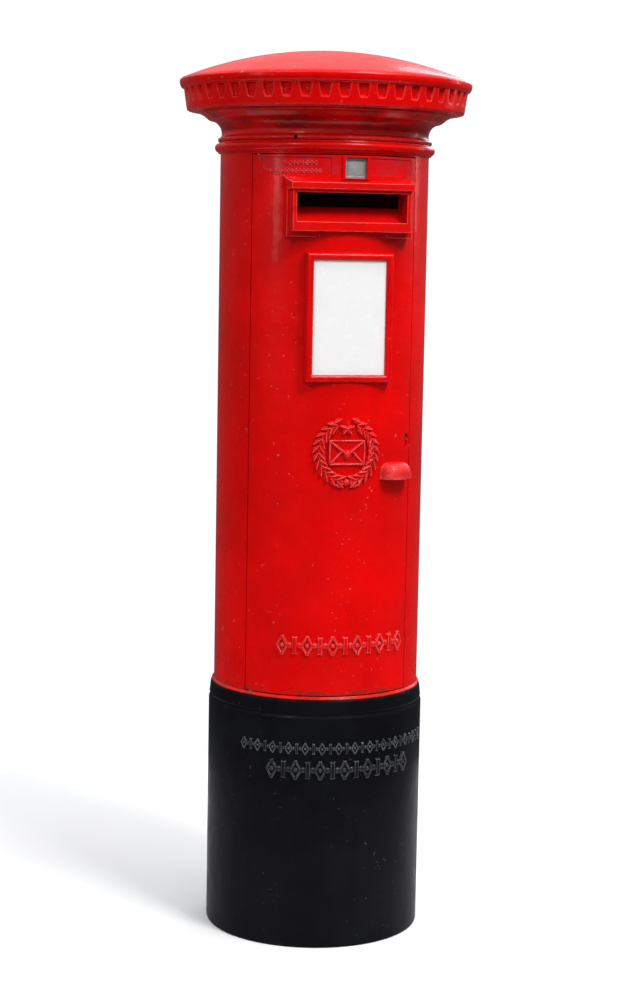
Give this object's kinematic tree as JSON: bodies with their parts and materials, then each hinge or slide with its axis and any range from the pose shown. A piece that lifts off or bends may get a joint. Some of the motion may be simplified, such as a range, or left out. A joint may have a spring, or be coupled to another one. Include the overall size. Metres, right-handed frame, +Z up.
{
  "type": "pillar mailbox",
  "caption": "Free-standing cast iron pillar mailbox with a domed fluted cap, a hooded posting slot and a hinged locking door.",
  "frame": {"origin": "centre of the plinth's base, on the ground", "axes": "+Z up; the door and the posting slot face -Y; +X to the right of someone facing the door from behind the box"},
  "size_m": [0.5329, 0.533, 1.618],
  "materials": {
    "red_paint": "gloss, thickly repainted",
    "black_paint": "semi-gloss",
    "white_enamel": "vitreous enamel, gloss",
    "tab_metal": "dull plate",
    "zinc_steel": "galvanised",
    "brass": "tarnished",
    "steel": "oiled",
    "plywood": "varnished ply"
  },
  "bodies": {
    "post": {"plinth": "black_paint", "base_flange_bolts": "steel", "carcass_shell": "red_paint", "cap": "red_paint", "cap_flange_bolts": "steel", "cap_flange_nuts": "steel", "cap_set_screws": "red_paint", "letter_floor": "zinc_steel", "floor_screws": "steel", "guard_rails": "zinc_steel", "guard_rods": "zinc_steel", "guard_brackets": "zinc_steel", "guard_screws": "steel", "lock_keeper": "steel", "keeper_screws": "steel", "hinge_bushes": "brass"},
    "door": {"door_panel": "red_paint", "pivot_pins": "steel", "aperture_surround": "red_paint", "surround_screws": "steel", "posting_chute": "red_paint", "chute_screws": "steel", "notice_frame": "red_paint", "notice_frame_screws": "steel", "notice_plate": "white_enamel", "notice_backing": "plywood", "button_studs": "brass", "tab_frame": "red_paint", "tab_plate": "tab_metal", "tab_clip": "steel", "tab_clip_screws": "steel", "door_pull": "red_paint", "pull_screws": "steel", "emblem_badge": "red_paint", "lock_case": "steel", "lock_cover": "steel", "lock_screws": "steel", "lever_pivot": "steel", "lever_springs": "brass"},
    "upper_button": {"upper_turn_button": "brass"},
    "lower_button": {"lower_turn_button": "brass"},
    "levers": {"lever_pack": "brass"},
    "bolt": {"lock_bolt": "brass"},
    "curtain": {"lock_curtain": "brass"}
  },
  "joints": [
    {"name": "door_hinge", "type": "hinge", "parent": "post", "child": "door", "pos_m": [-0.14791, -0.11028, 0.946], "axis": [0, 0, -1], "range_deg": [0, 115]},
    {"name": "key_turn", "type": "hinge", "parent": "door", "child": "curtain", "pos_m": [0.10994, -0.12967, 0.929], "axis": [-0.6467, 0.7628, 0], "range_deg": [0, 180]},
    {"name": "lock_bolt_slide", "type": "slide", "parent": "door", "child": "bolt", "axis": [0.7628, 0.6467, 0], "range_m": [0, 0.012]},
    {"name": "lever_lift", "type": "hinge", "parent": "door", "child": "levers", "pos_m": [0.07924, -0.14914, 0.941], "axis": [0.6467, -0.7628, 0], "range_deg": [0, 6], "stiffness_Nm_per_rad": 0.05, "springref_deg": -11.46, "deforming": ["lever_springs"]},
    {"name": "upper_button_turn", "type": "hinge", "parent": "door", "child": "upper_button", "pos_m": [0, -0.175, 1.261], "axis": [0, 1, 0], "range_deg": [0, 90]},
    {"name": "lower_button_turn", "type": "hinge", "parent": "door", "child": "lower_button", "pos_m": [0, -0.175, 1.026], "axis": [0, 1, 0], "range_deg": [0, 90]}
  ],
  "couplings": [
    {"joint": "key_turn", "follows": "lock_bolt_slide", "rad_per_m": 261.8}
  ]
}
